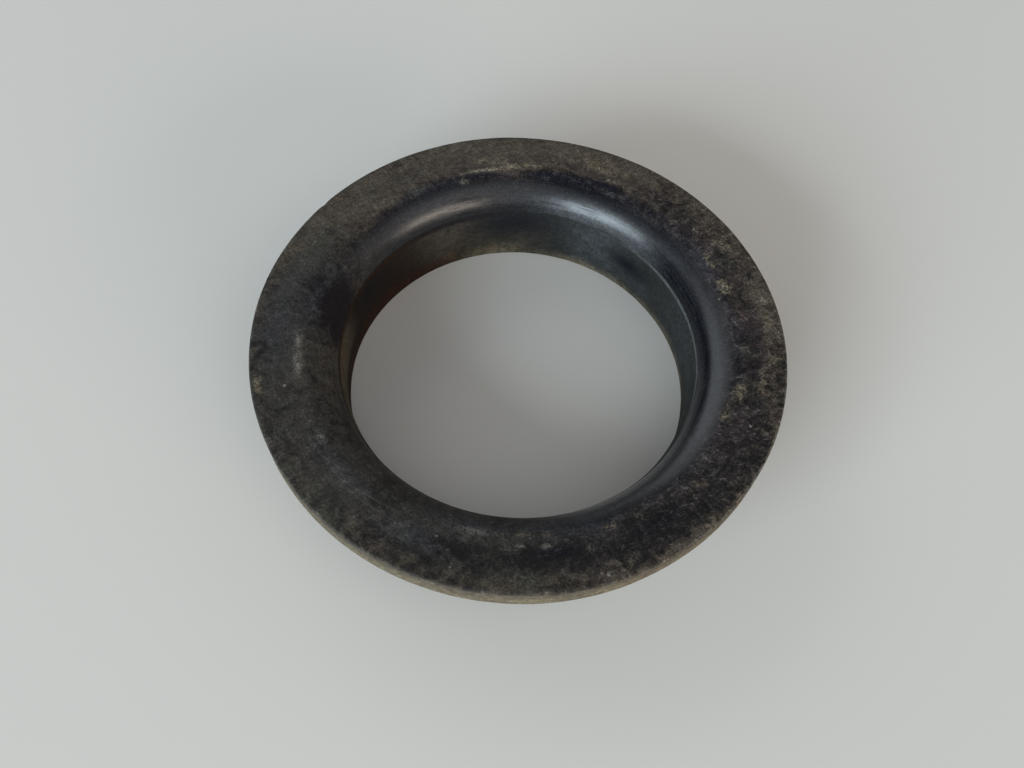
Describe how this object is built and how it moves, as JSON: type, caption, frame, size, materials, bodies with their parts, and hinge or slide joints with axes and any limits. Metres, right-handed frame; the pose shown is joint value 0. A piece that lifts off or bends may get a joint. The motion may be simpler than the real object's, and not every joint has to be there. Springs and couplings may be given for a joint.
{
  "type": "coil spring rubber mount",
  "caption": "Moulded rubber ring whose flat flange cushions a suspension spring's end coil, with a collar that centres the coil and a bell-mouthed bore that slips over the body's spigot.",
  "frame": {"origin": "on the ring's axis, in the plane of the collar's end, which the mount stands on off the car", "axes": "+Z along the ring's axis, up to the flange's flat top and the body side; the ring is the same all round, so X and Y are free"},
  "size_m": [0.13, 0.13, 0.025],
  "materials": {
    "black_rubber": "used black rubber, brown road dust on the flat top, satin in the bell mouth"
  },
  "bodies": {
    "root": {"spring_rubber_mount": "black_rubber"}
  },
  "joints": []
}
